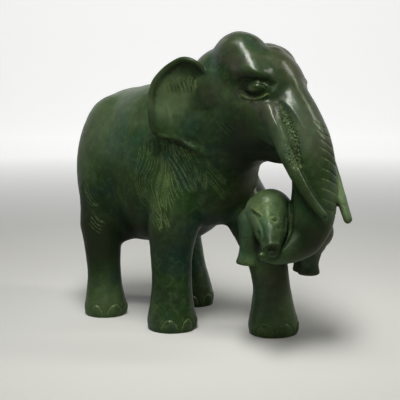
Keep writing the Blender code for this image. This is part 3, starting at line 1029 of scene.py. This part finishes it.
# The casting takes the place of the plain solid and is set inside its box, stretched or shrunk a
# little; it is narrower over the ears, so that the barrel keeps its width
skin = coordinates(statue) * UNIT
low, high = skin.min(axis=0), skin.max(axis=0)
MOST_SHRUNK = 0.97
MOST_GROWN = 1.008
grow = np.clip((np.array(cad_high) - np.array(cad_low)) / (high - low), MOST_SHRUNK, MOST_GROWN)
shift = (np.array(cad_low) + np.array(cad_high) - (low + high) * grow) / 2
shift[2] = -low[2] * grow[2]
move_to(statue, (skin * grow + shift) / UNIT)
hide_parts("elephant_with_calf")
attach(statue, "root")

# STAND, LIGHT AND CAMERA
# A round pale floor that turns up into a wall, brightest behind the statue as seen by the camera;
# soft studio light and one long lens.
FLOOR_RADIUS = 2.6
BEND = 0.9
WALL_HEIGHT = 3.0
# Bearing of the wall's brightest part, straight behind the statue
REAR = math.radians(42.37)
# The wall glows by itself, most behind the statue; the floor does so only away from it, in metres
DIM = 0.05
GLOW_STARTS = 0.6
GLOW_RISES_OVER = 1.4
GLOW_STRENGTH = 0.75
SPOKES = 72
profile = [(0.4 * step, 0.0) for step in range(1, 6)] + [(FLOOR_RADIUS, 0.0)]
profile += [
    (FLOOR_RADIUS + BEND * math.sin(turn), BEND - BEND * math.cos(turn))
    for turn in np.linspace(0.15, math.pi / 2, 10)
]
profile.append((FLOOR_RADIUS + BEND, WALL_HEIGHT))
sweep = bmesh.new()
glow = sweep.verts.layers.float.new("glow")
rings = []
for away, height in profile:
    ring = []
    for turn in np.linspace(0, 2 * math.pi, SPOKES, endpoint=False):
        spot = sweep.verts.new((away * math.sin(turn), away * math.cos(turn), height))
        behind = max(0.0, math.cos(turn - REAR)) ** 1.5
        spot[glow] = (DIM + (1 - DIM) * behind) * min(1.0, max(0.0, away - GLOW_STARTS) / GLOW_RISES_OVER)
        ring.append(spot)
    rings.append(ring)
for inner, outer in zip(rings, rings[1:]):
    for corners in zip(inner, inner[1:] + inner[:1], outer[1:] + outer[:1], outer):
        sweep.faces.new(corners)
sweep.faces.new(rings[0])
bmesh.ops.recalc_face_normals(sweep, faces=sweep.faces)
if rings[0][0].normal.z < 0:
    bmesh.ops.reverse_faces(sweep, faces=sweep.faces)
floor_mesh = bpy.data.meshes.new("floor")
sweep.to_mesh(floor_mesh)
sweep.free()
floor = mesh_object("floor", floor_mesh)
floor.data.shade_smooth()
plaster = bpy.data.materials.new("pale_floor")
plaster.use_nodes = True
paint = plaster.node_tree.nodes["Principled BSDF"]
PALE_PLASTER = (0.5, 0.5, 0.485, 1)
paint.inputs["Base Color"].default_value = PALE_PLASTER
paint.inputs["Roughness"].default_value = 0.9
paint.inputs["Emission Strength"].default_value = GLOW_STRENGTH
lit = Tone(plaster.node_tree).make("ShaderNodeAttribute", {"attribute_name": "glow"}, output="Fac")
plaster.node_tree.links.new(lit.socket, paint.inputs["Emission Color"])
floor.data.materials.append(plaster)
floor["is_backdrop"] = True

# Point that the lamps are aimed at
MIDDLE = Vector((0, 0, 0.2))
# The lamps throw narrow beams, so that most of the floor stays dim and isn't mirrored in the legs
LAMP_SPREAD = math.radians(70)


def soft_light(name, bearing, elevation, away, width, height, power, tint):
    """A rectangular light aimed at the statue; bearing zero is in front of her, negative on her right."""
    lamp = bpy.data.lights.new(name, "AREA")
    lamp.shape = "RECTANGLE"
    lamp.size = width
    lamp.size_y = height
    lamp.energy = power
    lamp.color = tint
    lamp.spread = LAMP_SPREAD
    holder = bpy.data.objects.new(name, lamp)
    bpy.context.scene.collection.objects.link(holder)
    a, e = math.radians(bearing), math.radians(elevation)
    out = Vector((math.sin(a) * math.cos(e), -math.cos(a) * math.cos(e), math.sin(e)))
    holder.location = MIDDLE + out * away
    holder.rotation_euler = out.to_track_quat("Z", "Y").to_euler()


# Name, bearing, elevation, distance, width, height, watts and tint
soft_light("strip_light", -50, 64, 1.5, 0.34, 1.2, 5.8, (1.0, 0.99, 0.95))
soft_light("top_light", -120, 76, 1.5, 0.6, 0.6, 0.7, (1.0, 1.0, 0.96))
soft_light("side_light", -140, 18, 1.6, 0.6, 0.9, 0.18, (0.85, 0.93, 1.0))
soft_light("front_light", 42, 38, 1.6, 0.25, 0.8, 1.1, (1.0, 0.97, 0.9))

world = bpy.data.worlds.new("studio")
world.use_nodes = True
world.node_tree.nodes["Background"].inputs["Color"].default_value = (0.9, 0.95, 1.0, 1)
world.node_tree.nodes["Background"].inputs["Strength"].default_value = 0.03
bpy.context.scene.world = world
bpy.context.scene.view_settings.view_transform = "Standard"

# The camera stands on her right, in front and a little above, in units of the same grid
CAMERA_PLACE = Vector((-759.122, -926.253, 292.28))
CAMERA_TURN = 0.73952
CAMERA_DIP = 0.146117
FOCAL_PIXELS = 1123.42
PICTURE_PIXELS = 400
SENSOR_WIDTH = 36
camera_data = bpy.data.cameras.new("camera")
camera_data.sensor_width = SENSOR_WIDTH
camera_data.lens = FOCAL_PIXELS / PICTURE_PIXELS * SENSOR_WIDTH
camera_data.clip_start = 0.05
camera = bpy.data.objects.new("camera", camera_data)
bpy.context.scene.collection.objects.link(camera)
camera.location = CAMERA_PLACE * UNIT + Vector(shift)
level = math.cos(CAMERA_DIP)
aim = Vector((math.sin(CAMERA_TURN) * level, math.cos(CAMERA_TURN) * level, -math.sin(CAMERA_DIP)))
camera.rotation_euler = aim.to_track_quat("-Z", "Y").to_euler()
bpy.context.scene.camera = camera

low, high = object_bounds()
